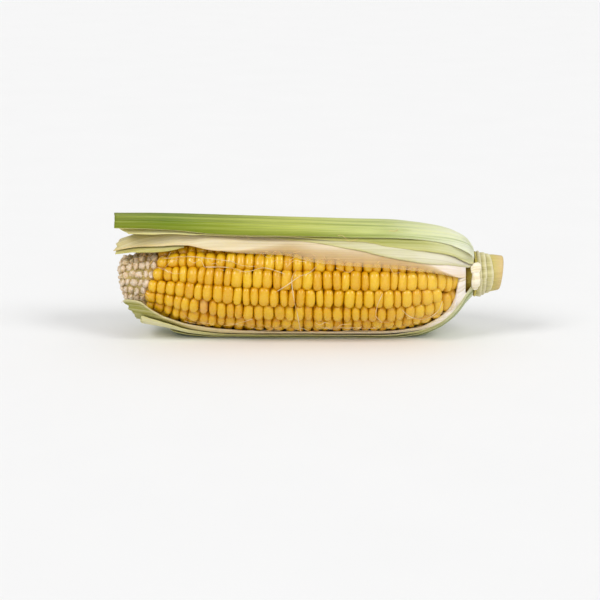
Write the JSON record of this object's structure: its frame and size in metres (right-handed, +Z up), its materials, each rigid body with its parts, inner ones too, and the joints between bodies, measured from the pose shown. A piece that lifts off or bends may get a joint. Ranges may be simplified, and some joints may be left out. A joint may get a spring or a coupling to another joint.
{
  "type": "ear of sweet corn",
  "caption": "Partly husked ear of sweet corn on its side: rows of kernels show through the open husk, with a bare tip and a cut shank.",
  "frame": {"origin": "on the surface that the ear lies on, under its axis, half way along its length", "axes": "+X along the ear from the bare tip to the cut shank, +Y to the back, so that the open husk faces -Y, +Z up"},
  "size_m": [0.1922, 0.0581, 0.0614],
  "materials": {
    "kernel": "satin",
    "cob_pith": "matte",
    "husk_pale": "satin",
    "husk_light_green": "satin",
    "husk_green": "satin",
    "shank_green": "matte",
    "silk": "satin"
  },
  "bodies": {
    "root": {"cob": "cob_pith", "kernel_row_01": "kernel", "kernel_row_02": "kernel", "kernel_row_03": "kernel", "kernel_row_04": "kernel", "kernel_row_05": "kernel", "kernel_row_06": "kernel", "kernel_row_07": "kernel", "kernel_row_08": "kernel", "kernel_row_09": "kernel", "kernel_row_10": "kernel", "kernel_row_11": "kernel", "kernel_row_12": "kernel", "kernel_row_13": "kernel", "kernel_row_14": "kernel", "kernel_row_15": "kernel", "kernel_row_16": "kernel", "husk_inner_top": "husk_pale", "husk_inner_under": "husk_pale", "husk_strip_front": "husk_pale", "husk_sliver_tip": "husk_pale", "husk_middle_top": "husk_light_green", "husk_middle_back": "husk_light_green", "husk_middle_under": "husk_light_green", "husk_outer_top": "husk_green", "husk_outer_back": "husk_green", "husk_outer_under": "husk_green", "shank": "shank_green", "sheath_collar": "shank_green", "torn_base_front": "husk_pale", "torn_base_upper": "husk_pale", "silk_1": "silk", "silk_2": "silk", "silk_3": "silk", "silk_4": "silk", "silk_5": "silk", "silk_6": "silk"}
  },
  "joints": []
}
